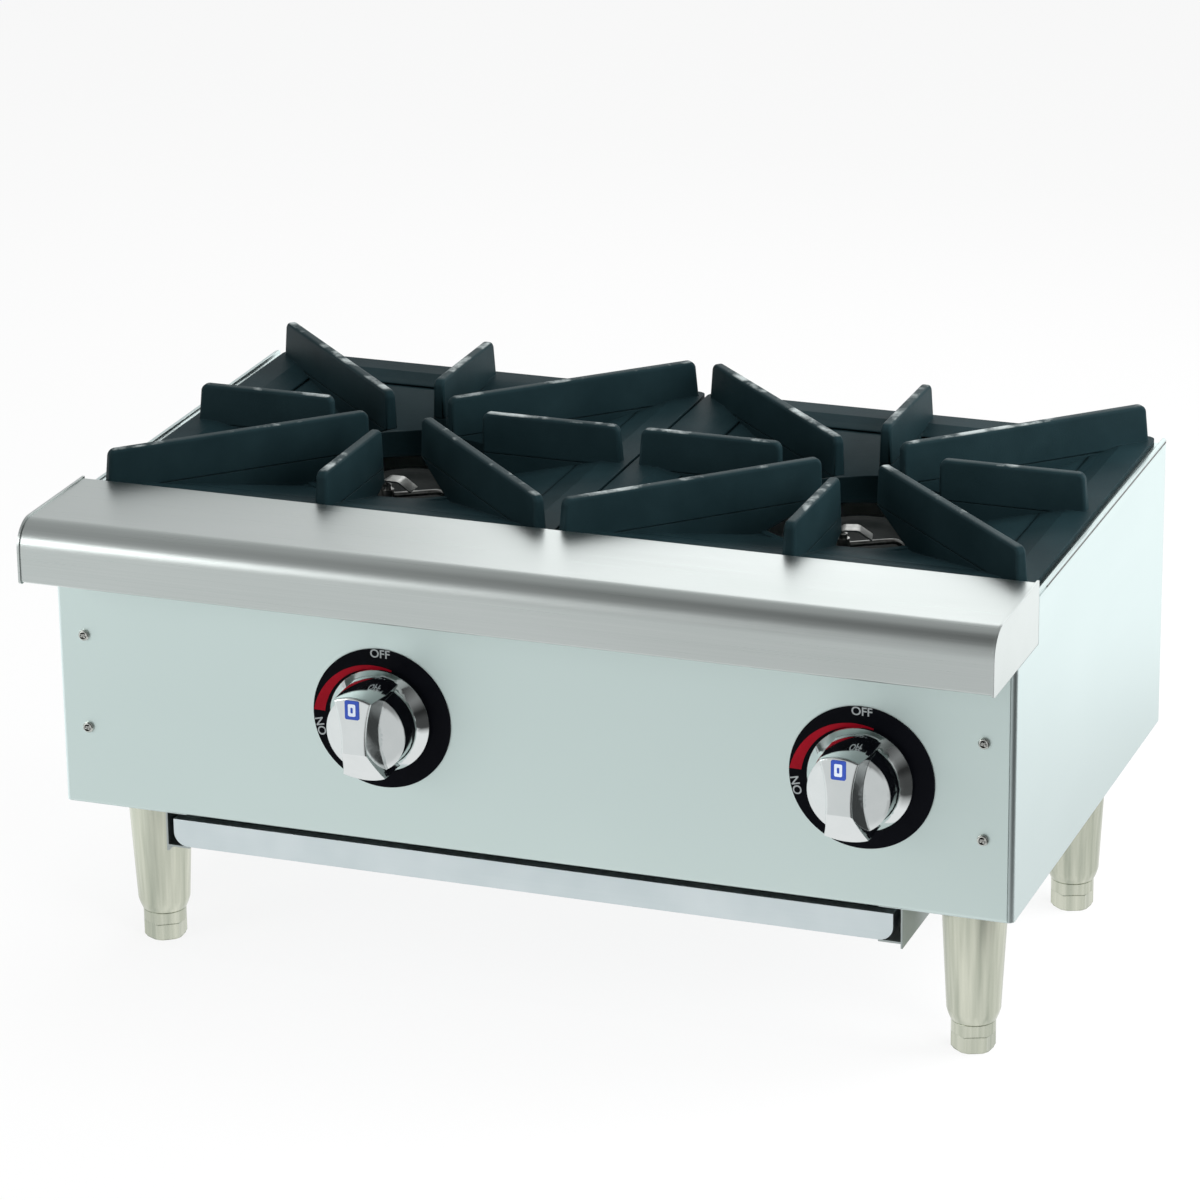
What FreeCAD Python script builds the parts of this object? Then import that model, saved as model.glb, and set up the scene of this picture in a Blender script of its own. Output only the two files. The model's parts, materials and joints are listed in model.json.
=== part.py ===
import FreeCAD, Part
import math
import os

# Countertop gas hotplate with two burners side by side.
# Sizes in millimetres. X runs to the right, Y to the back and Z up.
# Y is counted from the front face of the control panel while modelling,
# and each piece is moved to the middle of the footprint when it is saved.

vector = FreeCAD.Vector

# Body sheet metal
body_width = 610.0
body_height = 185.9
leg_height = 107.8
sheet = 1.2
bend_radius = 4.0
side_flange = 30.0
top_flange = 17.0
side_hem = 2.6
side_hem_round = 0.7
side_seam_drop = 1.0
side_seam_height = 1.6
side_seam_depth = 0.8
base_flange = 82.0
panel_flange = 14.0
sheet_clearance = 0.3
panel_inset = 3.5

# Rolled ledge above the control panel
ledge_reach = 47.0
ledge_back = 46.0
ledge_rise = 11.2
ledge_face = 37.6
ledge_roll = 17.0
ledge_return = 12.0
ledge_rest = 16.0
ledge_bend = 2.5
cap_thickness = 1.5
cap_proud = 0.8

# Cast grates
grate_side_gap = 7.0
grate_seam = 2.0
grate_front_gap = 3.2
grate_rear_gap = 1.8
grate_seat_gap = 0.1
grate_corner = 6.0
rim_thickness = 4.0
rim_width = 17.5
dish_depth = 18.0
dish_floor = 58.0
dish_thickness = 5.0
opening_radius = 67.0
collar_wall = 4.5
collar_drop = 17.0
collar_lip = 1.0
fin_height = 23.3
fin_end_inset = 4.7
corner_fin_setback = 2.8
side_fin_setback = 2.0
fin_top_thickness = 6.6
fin_root_thickness = 10.0
fin_end_draft = 4.0
fin_round = 2.2
fin_end_round = 5.0
corner_fin_inner = 28.0
side_fin_inner = 51.0
fin_tip_depth = 25.0
fin_heel_depth = 41.0

# Legs and feet
leg_inset = 38.6
front_leg_depth = 55.5
rear_leg_gap = 66.0
leg_top_radius = 20.8
leg_low_radius = 16.5
leg_mouth_radius = 14.0
leg_mouth_height = 19.5
leg_shoulder = 7.0
leg_shoulder_step = 1.0
leg_stud_radius = 5.0
leg_stud_length = 15.0
stud_clearance = 0.2
nut_across_flats = 16.0
nut_height = 6.5
foot_stem_radius = 8.0
foot_stem_length = 40.0
foot_fit = 0.06
foot_collar_radius = 13.6
foot_hex_height = 10.5
foot_gap = 0.3
foot_chamfer = 1.2

# Drip tray and its runners
runner_step = 13.4
runner_drop = 22.7
runner_toe = 3.0
runner_lip = 14.0
runner_setback = 2.0
tray_gap = 0.3
tray_side_gap = 4.4
tray_wall = 17.6
tray_front = 1.0
tray_back_gap = 25.0
tray_corner = 9.0
tray_hem = 7.0

# Controls on the front
dial_spread = 3.5
dial_shift = 61.3
dial_rise = 81.0
dial_radius = 44.5
dial_thickness = 0.8
shaft_hole = 8.0
stem_radius = 4.0
stem_fit = 0.05
stem_front = 30.0
stem_back = 45.0
knob_lift = 1.6
skirt_radius = 32.3
skirt_rim = 3.0
skirt_height = 10.0
drum_radius = 26.8
drum_height = 16.0
crown_radius = 25.4
crown_height = 3.2
knob_edge = 1.0
grip_front = 45.5
grip_radius = 29.5
grip_waist = 7.8
grip_draft = 2.0
scoop_radius = 85.0
scoop_floor = 26.0
grip_round = 1.4
tail_start = 6.5
tail_drop = 17.5
tile_width = 9.0
tile_height = 12.0
tile_thickness = 0.6
tile_raise = 22.0
panel_screw_inset = 18.7
panel_screw_low_rise = 51.2
panel_screw_high_rise = 111.7
screw_radius = 2.0
screw_clearance = 0.15
screw_length = 9.0
screw_head_radius = 3.6
screw_head_height = 2.2
screw_dome_radius = 2.0

# Gas train
manifold_depth = 50.0
manifold_drop = 44.0
pipe_radius = 13.35
pipe_bore = 10.4
manifold_tail = 12.0
elbow_shift = 42.45
elbow_radius = 16.5
elbow_arm = 24.0
pipe_engagement = 10.0
pipe_fit = 0.05
inlet_reach = 25.0
thread_radius = 12.9
thread_length = 20.0
inlet_hole_clearance = 1.1
plug_length = 16.0
plug_square = 11.0
plug_head = 8.0
boss_radius = 11.0
boss_drop = 24.0
valve_radius = 13.0
valve_front = 28.0
valve_back = 70.0
valve_inlet_radius = 9.0
hood_radius = 8.0
hood_tip_radius = 5.0
hood_length = 26.0
hood_taper = 8.0
orifice_radius = 1.2
pilot_boss_radius = 8.0
pilot_valve_radius = 6.5
pilot_valve_rise = 6.0
pilot_valve_shift = 26.0
pilot_nut_margin = 1.0
bracket_gauge = 3.0
bracket_half = 22.0
left_bracket_shift = 70.0
right_bracket_shift = -92.5

# Burners
mouth_depth = 92.5
tube_radius = 16.0
tube_bore = 12.5
tube_bend = 40.0
bell_radius = 23.0
bell_length = 18.0
bell_wall = 2.5
window_radius = 5.0
window_reach = 15.0
shutter_radius = 22.0
shutter_gauge = 1.5
shutter_gap = 0.3
shutter_hole_gap = 0.6
mouth_hole_gap = 1.0
cup_drop = 18.0
cup_low_radius = 24.0
cup_top_radius = 36.0
cup_wall = 5.0
cup_waist_rise = 12.0
cup_shoulder_drop = 14.0
cup_lower_bevel = 5.0
cup_rim_bevel = 2.0
seat_drop = 42.0
head_radius = 38.0
head_height = 15.0
head_wall = 5.0
head_roof = 4.0
head_spigot = 9.0
head_spigot_gap = 0.5
head_dish_radius = 20.0
head_dish_depth = 3.0
head_dish_slope = 6.0
head_bevel = 4.5
port_count = 24
port_width = 2.6
port_height = 5.0
port_lift = 3.0
rail_gauge = 1.5
rail_width = 20.0
rail_web = 11.0
rail_ahead = 74.0
rail_behind = 64.0
pad_width = 22.0
pad_length = 14.0
pad_height = 6.0
lug_rise = 6.0
lug_width = 24.0
lug_thickness = 6.0

# Pilots
pilot_ahead = 44.5
pilot_shift = 3.0
pilot_ledge_width = 32.0
pilot_ledge_thickness = 3.0
pilot_ledge_drop = 3.0
pilot_ledge_margin = 11.0
pilot_radius = 2.6
pilot_bore = 1.4
pilot_height = 33.5
pilot_bore_depth = 8.0
pilot_port_rise = 23.0
pilot_collar_height = 9.0
pilot_collar_wall = 1.4
pilot_hood_shift = 5.0
pilot_hood_half = 13.0
pilot_hood_crown = 4.5
pilot_hood_length = 11.5
pilot_hood_gauge = 1.0
pilot_hood_sole = 4.5
pilot_hood_height = 37.8
pilot_hood_fall = 6.0
pilot_hood_bend = 5.0
pilot_sole_bend = 2.0
left_hood_turn = 0.0
right_hood_turn = 15.0
tube_wire_radius = 1.8
tube_corner = 8.0
tube_rise = 31.7
tube_knee_side = 36.0
tube_knee_ahead = 25.0

# Places worked out from the sizes above
half_width = body_width / 2
body_top = leg_height + body_height
ledge_top = body_top + ledge_rise
ledge_bottom = ledge_top - ledge_face
grate_size = half_width - grate_side_gap - grate_seam / 2
grate_half = grate_size / 2
grate_x = grate_half + grate_seam / 2
grate_y = ledge_back + grate_front_gap + grate_half
body_depth = grate_y + grate_half + grate_rear_gap
front_end = -ledge_reach - cap_proud
rear_end = body_depth + inlet_reach
footprint_middle = (front_end + rear_end) / 2
rim_bottom = body_top + grate_seat_gap
rim_top = rim_bottom + rim_thickness
fin_top = rim_top + fin_height
leg_x = half_width - leg_inset
rear_leg_depth = body_depth - rear_leg_gap
base_inner = half_width - base_flange
runner_face = base_inner + runner_step
runner_screw_x = runner_face - runner_lip / 2
runner_screw_depths = (front_leg_depth + leg_inset, rear_leg_depth - leg_inset)
runner_level = leg_height - runner_drop
tray_floor = runner_level + sheet + tray_gap
panel_screw_x = half_width - panel_screw_inset
panel_screw_levels = (leg_height + panel_screw_low_rise, leg_height + panel_screw_high_rise)
dial_level = leg_height + dial_rise
dial_places = {
    "left": -grate_x + dial_shift - dial_spread / 2,
    "right": grate_x + dial_shift + dial_spread / 2}
manifold_level = dial_level - manifold_drop
manifold_end = dial_places["left"] - pilot_valve_shift - manifold_tail
elbow_x = dial_places["right"] + elbow_shift
boss_level = dial_level - boss_drop
pilot_valve_top = dial_level + pilot_valve_rise
seat_level = body_top - seat_drop
cup_bottom = dial_level - cup_drop
cup_waist_level = dial_level + cup_waist_rise
cup_shoulder_level = seat_level - cup_shoulder_drop
cup_top_inner = cup_top_radius - cup_wall - cup_rim_bevel
lug_level = dial_level + lug_rise
shutter_front = mouth_depth - shutter_gap - shutter_gauge
pilot_floor = seat_level - pilot_ledge_drop
pilot_port_level = seat_level + pilot_port_rise
tube_level = dial_level + tube_rise
sides = {"left": -1, "right": 1}
hood_turns = {"left": left_hood_turn, "right": right_hood_turn}

os.makedirs("parts", exist_ok=True)


# General helpers

def save(name, shape):
    placed = shape.copy()
    placed.translate(vector(0, -footprint_middle, 0))
    placed.exportStep("parts/" + name + ".step")


def block(x0, x1, y0, y1, z0, z1):
    return Part.makeBox(x1 - x0, y1 - y0, z1 - z0, vector(x0, y0, z0))


def upright(x, y, z0, z1, radius):
    return Part.makeCylinder(radius, z1 - z0, vector(x, y, z0), vector(0, 0, 1))


def rod_back(x, z, y0, y1, radius):
    return Part.makeCylinder(radius, y1 - y0, vector(x, y0, z), vector(0, 1, 0))


def rod_right(y, z, x0, x1, radius):
    return Part.makeCylinder(radius, x1 - x0, vector(x0, y, z), vector(1, 0, 0))


def mirrored(shape):
    return shape.mirror(vector(0, 0, 0), vector(1, 0, 0))


def moved(shape, x, y, z):
    placed = shape.copy()
    placed.translate(vector(x, y, z))
    return placed


def hexagon(across_flats, z0, z1):
    corner = across_flats / math.sqrt(3)
    points = []
    for step in range(7):
        angle = math.radians(60 * step)
        points.append(vector(corner * math.cos(angle), corner * math.sin(angle), z0))
    face = Part.Face(Part.makePolygon(points))
    return face.extrude(vector(0, 0, z1 - z0))


# A turned piece about the Z axis from (radius, height) points
def turned(points):
    line = [vector(radius, 0, height) for radius, height in points]
    line.append(line[0])
    face = Part.Face(Part.makePolygon(line))
    return face.revolve(vector(0, 0, 0), vector(0, 0, 1), 360)


# Stand a piece made along +Z on the control panel, so that it points to the front
def facing_front(shape, x, z):
    placed = shape.copy()
    placed.rotate(vector(0, 0, 0), vector(1, 0, 0), 90)
    placed.translate(vector(x, 0, z))
    return placed


# Straight runs joined by tangent arcs, one radius for each inner corner
def rounded_edges(points, radii):
    edges = []
    start = points[0]
    for index in range(1, len(points) - 1):
        corner = points[index]
        back = (points[index - 1] - corner).normalize()
        ahead = (points[index + 1] - corner).normalize()
        radius = radii[index - 1]
        half_angle = back.getAngle(ahead) / 2
        reach = radius / math.tan(half_angle)
        bisector = (back + ahead).normalize()
        enter = corner + back * reach
        leave = corner + ahead * reach
        middle = corner + bisector * (radius / math.sin(half_angle) - radius)
        edges.append(Part.makeLine(start, enter))
        edges.append(Part.Arc(enter, middle, leave).toShape())
        start = leave
    edges.append(Part.makeLine(start, points[-1]))
    return edges


# Section of bent sheet in the YZ plane: the outer line is given as (y, z) points,
# and the metal lies on the right-hand side of that line
def sheet_section(points, radii, thickness, x):
    headings = []
    for first, second in zip(points[:-1], points[1:]):
        length = math.hypot(second[0] - first[0], second[1] - first[1])
        headings.append(((second[0] - first[0]) / length, (second[1] - first[1]) / length))
    normals = [(heading[1], -heading[0]) for heading in headings]
    inner = [(points[0][0] + normals[0][0] * thickness, points[0][1] + normals[0][1] * thickness)]
    inner_radii = []
    for index in range(1, len(points) - 1):
        one = normals[index - 1]
        two = normals[index]
        share = thickness / (1 + one[0] * two[0] + one[1] * two[1])
        corner = points[index]
        inner.append((corner[0] + (one[0] + two[0]) * share, corner[1] + (one[1] + two[1]) * share))
        turn = headings[index - 1][0] * headings[index][1] - headings[index - 1][1] * headings[index][0]
        inner_radii.append(radii[index - 1] + math.copysign(thickness, turn))
    inner.append((points[-1][0] + normals[-1][0] * thickness, points[-1][1] + normals[-1][1] * thickness))
    outer_line = [vector(x, y, z) for y, z in points]
    inner_line = [vector(x, y, z) for y, z in inner]
    edges = rounded_edges(outer_line, radii) + rounded_edges(inner_line, inner_radii)
    edges.append(Part.makeLine(outer_line[0], inner_line[0]))
    edges.append(Part.makeLine(outer_line[-1], inner_line[-1]))
    return Part.Face(Part.Wire(Part.__sortEdges__(edges)))


# Round tube along straight runs and arcs
def bent_tube(points, corner_radius, radius):
    edges = rounded_edges(points, [corner_radius] * (len(points) - 2))
    path = Part.Wire(edges)
    ring = Part.Wire(Part.makeCircle(radius, points[0], points[1] - points[0]))
    return path.makePipeShell([ring], True, False)


def straight_edges_at(shape, keep):
    chosen = []
    for edge in shape.Edges:
        if keep(edge.CenterOfMass, edge.BoundBox):
            chosen.append(edge)
    return chosen


# Sheet-metal body

def side_panel():
    x0 = half_width - side_flange
    y0 = sheet
    y1 = body_depth - sheet
    shell = block(x0, half_width, y0, y1, leg_height, rim_top)
    corners = straight_edges_at(
        shell, lambda centre, box: box.ZLength > sheet and centre.x > x0 + sheet and box.YLength < sheet)
    shell = shell.makeFillet(bend_radius, corners)
    room = block(x0 - sheet, half_width - sheet, y0 + sheet, y1 - sheet, leg_height + sheet, body_top - sheet)
    room_corners = straight_edges_at(
        room, lambda centre, box: box.ZLength > sheet and centre.x > x0 and box.YLength < sheet)
    room = room.makeFillet(bend_radius - sheet, room_corners)
    panel = shell.cut(room)
    panel = panel.cut(block(x0 - sheet, half_width - side_hem, y0, y1, body_top, rim_top + sheet))
    outside = half_width - sheet
    hem_edge = straight_edges_at(
        panel, lambda centre, box: box.ZMin > body_top and box.YLength > ledge_back and box.XMin > outside)
    panel = panel.makeFillet(side_hem_round, hem_edge)
    seam_top = rim_top - side_seam_drop
    panel = panel.cut(block(
        half_width - side_seam_depth, half_width + sheet, y0, y1, seam_top - side_seam_height, seam_top))
    panel = panel.cut(block(x0 - sheet, half_width - top_flange, y0, y1, body_top - sheet, body_top + sheet))
    panel = panel.fuse(block(base_inner, half_width - bend_radius, y0, y1, leg_height, leg_height + sheet))
    ledge_room = ledge_bottom - cap_proud - sheet_clearance
    panel = panel.cut(block(
        x0 - sheet, half_width + sheet, 0, ledge_back + sheet_clearance, ledge_room, rim_top + sheet))
    hole = leg_stud_radius + stud_clearance
    for leg_depth in (front_leg_depth, rear_leg_depth):
        panel = panel.cut(upright(leg_x, leg_depth, leg_height - sheet, leg_height + 2 * sheet, hole))
    for depth in runner_screw_depths:
        panel = panel.cut(upright(
            runner_screw_x, depth, leg_height - sheet, leg_height + 2 * sheet,
            screw_radius + screw_clearance))
    for level in panel_screw_levels:
        panel = panel.cut(rod_back(panel_screw_x, level, 0, body_depth, screw_radius + screw_clearance))
    return panel.removeSplitter()


def flat_panel(top_run, top_level, flange_ends):
    half = half_width - panel_inset
    line = [
        (panel_flange, leg_height), (0, leg_height), (0, top_level), (top_run, top_level)]
    section = sheet_section(line, [ledge_bend, ledge_bend], sheet, -half)
    panel = section.extrude(vector(2 * half, 0, 0))
    for sign in (-1, 1):
        start = sign * (base_inner - sheet_clearance)
        finish = sign * (half + sheet)
        panel = panel.cut(block(
            min(start, finish), max(start, finish), sheet, panel_flange + sheet, leg_height - sheet,
            leg_height + ledge_bend))
        start = sign * flange_ends
        panel = panel.cut(block(
            min(start, finish), max(start, finish), sheet, top_run + sheet, top_level - ledge_bend,
            top_level + sheet))
    for x in (-panel_screw_x, panel_screw_x):
        for level in panel_screw_levels:
            panel = panel.cut(rod_back(x, level, -sheet, 2 * sheet, screw_radius + screw_clearance))
    return panel


def control_panel():
    panel = flat_panel(ledge_back - 2 * sheet - ledge_bend, ledge_top - sheet, half_width - panel_inset)
    for x in dial_places.values():
        panel = panel.cut(rod_back(x, dial_level, -sheet, 2 * sheet, shaft_hole))
    return panel


def rear_panel():
    panel = flat_panel(top_flange, body_top, half_width - side_flange - sheet_clearance)
    panel.rotate(vector(0, 0, 0), vector(0, 0, 1), 180)
    panel.translate(vector(0, body_depth, 0))
    hole = pipe_radius + inlet_hole_clearance
    return panel.cut(rod_back(elbow_x, manifold_level, body_depth - 2 * sheet, body_depth + sheet, hole))


def front_ledge():
    half = half_width - cap_thickness
    line = [
        (ledge_return - ledge_reach, ledge_bottom), (-ledge_reach, ledge_bottom), (-ledge_reach, ledge_top),
        (ledge_back, ledge_top), (ledge_back, body_top), (ledge_back + ledge_rest, body_top)]
    section = sheet_section(line, [ledge_bend, ledge_roll, ledge_bend, ledge_bend], sheet, -half)
    ledge = section.extrude(vector(2 * half, 0, 0))
    rest_end = half_width - top_flange - sheet_clearance
    for x0, x1 in ((-half_width, -rest_end), (rest_end, half_width)):
        ledge = ledge.cut(block(
            x0, x1, ledge_back, ledge_back + ledge_rest + sheet, body_top - 2 * sheet,
            body_top + 2 * ledge_bend))
    return ledge


def ledge_cap():
    x = half_width - cap_thickness
    low = ledge_bottom - cap_proud
    high = ledge_top + cap_proud
    corners = [
        vector(x, ledge_back, low), vector(x, front_end, low), vector(x, front_end, high),
        vector(x, ledge_back, high)]
    edges = rounded_edges(corners, [ledge_bend, ledge_roll + cap_proud])
    edges.append(Part.makeLine(corners[-1], corners[0]))
    return Part.Face(Part.Wire(edges)).extrude(vector(cap_thickness, 0, 0))


def burner_rail(depth, level):
    half = half_width - sheet
    flange = block(-half, half, depth - rail_width / 2, depth + rail_width / 2, level - rail_gauge, level)
    web_front = depth + rail_width / 2 - rail_gauge
    web = block(-half, half, web_front, depth + rail_width / 2, level - rail_web, level)
    return flange.fuse(web).removeSplitter()


def screw(x, depth, level, direction):
    shank = Part.makeCylinder(screw_radius, screw_length, vector(0, 0, 0), vector(0, 0, 1))
    head = turned([
        (0, 0), (screw_head_radius, 0), (screw_head_radius, -screw_head_height / 2),
        (screw_dome_radius, -screw_head_height), (0, -screw_head_height)])
    piece = shank.fuse(head).removeSplitter()
    turn = FreeCAD.Rotation(vector(0, 0, 1), direction)
    piece.Placement = FreeCAD.Placement(vector(x, depth, level), turn)
    return piece


def panel_screws(depth, direction):
    pieces = []
    for x in (-panel_screw_x, panel_screw_x):
        for level in panel_screw_levels:
            pieces.append(screw(x, depth, level, direction))
    return Part.makeCompound(pieces)


# Legs and feet

def leg():
    stem_room = leg_mouth_height + foot_stem_length + foot_gap
    bore = foot_stem_radius + foot_fit
    shape = turned([
        (bore, leg_mouth_height), (leg_mouth_radius, leg_mouth_height),
        (leg_low_radius - leg_shoulder_step, leg_mouth_height + leg_shoulder / 2),
        (leg_low_radius, leg_mouth_height + leg_shoulder),
        (leg_top_radius, leg_height), (leg_stud_radius, leg_height),
        (leg_stud_radius, leg_height + leg_stud_length), (0, leg_height + leg_stud_length),
        (0, stem_room), (bore, stem_room)])
    return shape


def foot():
    collar_top = leg_mouth_height - foot_gap
    stem = upright(0, 0, foot_hex_height, leg_mouth_height + foot_stem_length, foot_stem_radius)
    collar = upright(0, 0, foot_hex_height, collar_top, foot_collar_radius)
    hex_flats = foot_collar_radius * math.sqrt(3)
    hex_foot = hexagon(hex_flats, 0, foot_hex_height)
    rounding = turned([
        (0, 0), (foot_collar_radius - foot_chamfer, 0), (foot_collar_radius, foot_chamfer),
        (foot_collar_radius, foot_hex_height), (0, foot_hex_height)])
    return stem.fuse(collar).fuse(hex_foot.common(rounding)).removeSplitter()


def leg_nut():
    nut = hexagon(nut_across_flats, leg_height + sheet, leg_height + sheet + nut_height)
    return nut.cut(upright(0, 0, leg_height, leg_height + leg_stud_length, leg_stud_radius + pipe_fit))


# Drip tray and runners

def tray_runner():
    y0 = runner_setback
    y1 = body_depth - 2 * sheet - panel_flange
    web = block(runner_face, runner_face + sheet, y0, y1, runner_level - runner_toe, leg_height)
    inner = runner_face - runner_lip
    low = block(inner, runner_face, y0, y1, runner_level, runner_level + sheet)
    high = block(inner, runner_face, y0 + panel_flange, y1, leg_height - sheet, leg_height)
    runner = web.fuse(low).fuse(high).removeSplitter()
    for depth in runner_screw_depths:
        runner = runner.cut(upright(
            runner_screw_x, depth, leg_height - 2 * sheet, leg_height + sheet,
            screw_radius + screw_clearance))
    return runner


# Upright section of the tray, rounded at its two lower corners
def tray_section(half, low, top, corner, y):
    corners = [vector(-half, y, top), vector(-half, y, low), vector(half, y, low), vector(half, y, top)]
    edges = rounded_edges(corners, [corner, corner])
    edges.append(Part.makeLine(corners[-1], corners[0]))
    return Part.Face(Part.Wire(edges))


def drip_tray():
    half = runner_face - tray_side_gap
    y0 = tray_front
    y1 = body_depth - tray_back_gap
    z0 = tray_floor
    z1 = tray_floor + tray_wall
    shell = tray_section(half, z0, z1, tray_corner, y0).extrude(vector(0, y1 - y0, 0))
    room = tray_section(half - sheet, z0 + sheet, z1 + sheet, tray_corner - sheet, y0 + sheet)
    room = room.extrude(vector(0, y1 - y0 - 2 * sheet, 0))
    hem = block(-half, half, y0, y0 + tray_hem, z1 - sheet, z1)
    return shell.cut(room).fuse(hem).removeSplitter()


# Cast grates, modelled about the middle of the opening at y = 0

def square_frustum(half_low, z_low, half_high, z_high):
    wires = []
    for half, z in ((half_low, z_low), (half_high, z_high)):
        corners = [
            vector(-half, -half, z), vector(half, -half, z), vector(half, half, z), vector(-half, half, z),
            vector(-half, -half, z)]
        wires.append(Part.makePolygon(corners))
    return Part.makeLoft(wires, True, True)


def dish(sink):
    half_high = grate_half - rim_width
    return square_frustum(dish_floor, rim_top - dish_depth - sink, half_high, rim_top - sink)


# One upright fin along +X: rounded at its two top corners, drafted on its flanks and outer end
def fin(inner, outer):
    z_low = rim_top - dish_depth - dish_thickness
    far = outer + fin_end_draft
    outline = [
        vector(inner, -fin_root_thickness, z_low), vector(inner, -fin_root_thickness, fin_top),
        vector(outer, -fin_root_thickness, fin_top), vector(far, -fin_root_thickness, z_low)]
    edges = rounded_edges(outline, [fin_end_round, fin_end_round])
    edges.append(Part.makeLine(outline[-1], outline[0]))
    blade = Part.Face(Part.Wire(edges)).extrude(vector(0, 2 * fin_root_thickness, 0))
    wires = []
    for thickness, z in ((fin_root_thickness, z_low), (fin_top_thickness, fin_top)):
        half = thickness / 2
        corners = [
            vector(0, -half, z), vector(grate_size, -half, z), vector(grate_size, half, z),
            vector(0, half, z), vector(0, -half, z)]
        wires.append(Part.makePolygon(corners))
    shape = blade.common(Part.makeLoft(wires, True, True))
    border = straight_edges_at(
        shape, lambda centre, box: box.ZMax > z_low + fin_round and box.YLength < fin_top_thickness / 2)
    return shape.makeFillet(fin_round, border)


def grate():
    slab = block(-grate_half, grate_half, -grate_half, grate_half, rim_bottom, rim_top)
    corners = straight_edges_at(slab, lambda centre, box: box.ZLength > rim_thickness / 2)
    slab = slab.makeFillet(grate_corner, corners)
    plate = slab.fuse(dish(dish_thickness)).cut(dish(0))
    collar_top = rim_top - dish_depth + collar_lip
    collar_low = collar_top - collar_drop
    collar = upright(0, 0, collar_low, collar_top, opening_radius + collar_wall)
    plate = plate.fuse(collar)
    ground = block(-grate_size, grate_size, -grate_size, grate_size, collar_low, rim_top - rim_thickness / 2)
    ground = ground.cut(dish(dish_thickness / 2))
    heel = opening_radius + collar_wall / 2
    undercut = turned([
        (0, collar_low), (heel, collar_low), (heel, fin_top - fin_heel_depth),
        (corner_fin_inner, fin_top - fin_tip_depth), (0, fin_top - fin_tip_depth)])
    plate = plate.cut(upright(0, 0, collar_low, fin_top, opening_radius))
    outer = grate_half - fin_end_inset
    for step in range(8):
        if step % 2:
            piece = fin(corner_fin_inner, outer * math.sqrt(2) - corner_fin_setback)
        else:
            piece = fin(side_fin_inner, outer - side_fin_setback)
        piece.rotate(vector(0, 0, 0), vector(0, 0, 1), 45 * step)
        piece = piece.cut(ground).cut(undercut)
        plate = plate.fuse(piece)
    return plate.removeSplitter()


# Controls

def dial_plate():
    plate = Part.makeCylinder(dial_radius, dial_thickness)
    return plate.cut(Part.makeCylinder(shaft_hole, dial_thickness))


def knob():
    z0 = knob_lift
    rim_high = z0 + skirt_rim
    drum_high = skirt_height + drum_height
    body = turned([
        (0, z0), (skirt_radius - knob_edge, z0), (skirt_radius, z0 + knob_edge), (skirt_radius, rim_high),
        (drum_radius, skirt_height), (drum_radius - knob_edge, skirt_height + 2 * knob_edge),
        (crown_radius, drum_high), (crown_radius - 3 * knob_edge, drum_high + knob_edge),
        (crown_radius / 2, drum_high + 0.8 * crown_height), (0, drum_high + crown_height)])
    bar = Part.makeCylinder(grip_radius, grip_front - rim_high, vector(0, 0, rim_high))
    scoop_x = scoop_radius + grip_waist + grip_draft
    for side in (-1, 1):
        scoop = Part.makeCone(
            scoop_radius, scoop_radius + grip_draft, grip_front - scoop_floor,
            vector(side * scoop_x, 0, scoop_floor))
        below = Part.makeCylinder(
            scoop_radius, scoop_floor - rim_high, vector(side * scoop_x, 0, rim_high))
        bar = bar.cut(scoop).cut(below)
    fall = math.degrees(math.atan2(tail_drop, grip_radius - tail_start))
    tail = Part.makeBox(
        2 * grip_radius, 2 * grip_radius, grip_front, vector(-grip_radius, -2 * grip_radius, 0))
    tail.rotate(vector(0, 0, 0), vector(1, 0, 0), fall)
    tail.translate(vector(0, -tail_start, grip_front))
    bar = bar.cut(tail)
    face_edges = straight_edges_at(
        bar, lambda centre, box: box.ZMin > grip_front - grip_round and centre.y > grip_round - tail_start)
    bar = bar.makeFillet(grip_round, face_edges)
    shape = body.fuse(bar)
    bore = Part.makeCylinder(stem_radius + stem_fit, stem_front + stem_fit)
    return shape.cut(bore).removeSplitter()


def knob_tile():
    half = tile_width / 2
    low = tile_raise - tile_height / 2
    plate = block(-half, half, low, low + tile_height, grip_front, grip_front + tile_thickness)
    edges = straight_edges_at(plate, lambda centre, box: box.ZLength > tile_thickness / 2)
    return plate.makeFillet(tile_width / 8, edges)


def valve_stem():
    return Part.makeCylinder(stem_radius, stem_front + stem_back, vector(0, 0, -stem_back))


# Gas train

def gas_manifold():
    right_end = elbow_x - elbow_arm + pipe_engagement
    pipe = rod_right(manifold_depth, manifold_level, manifold_end, right_end, pipe_radius)
    for x in dial_places.values():
        pipe = pipe.fuse(upright(x, manifold_depth, manifold_level, boss_level, boss_radius))
        pilot_x = x - pilot_valve_shift
        pipe = pipe.fuse(upright(pilot_x, manifold_depth, manifold_level, boss_level, pilot_boss_radius))
    bore = rod_right(manifold_depth, manifold_level, manifold_end, right_end, pipe_bore)
    return pipe.cut(bore).removeSplitter()


def manifold_plug():
    x = manifold_end
    shank = rod_right(manifold_depth, manifold_level, x, x + plug_length, pipe_bore - pipe_fit)
    flange = rod_right(manifold_depth, manifold_level, x - plug_head / 2, x, pipe_radius)
    half = plug_square / 2
    square = block(
        x - 2 * plug_head, x - plug_head / 2, manifold_depth - half, manifold_depth + half,
        manifold_level - half, manifold_level + half)
    return shank.fuse(flange).fuse(square).removeSplitter()


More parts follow.
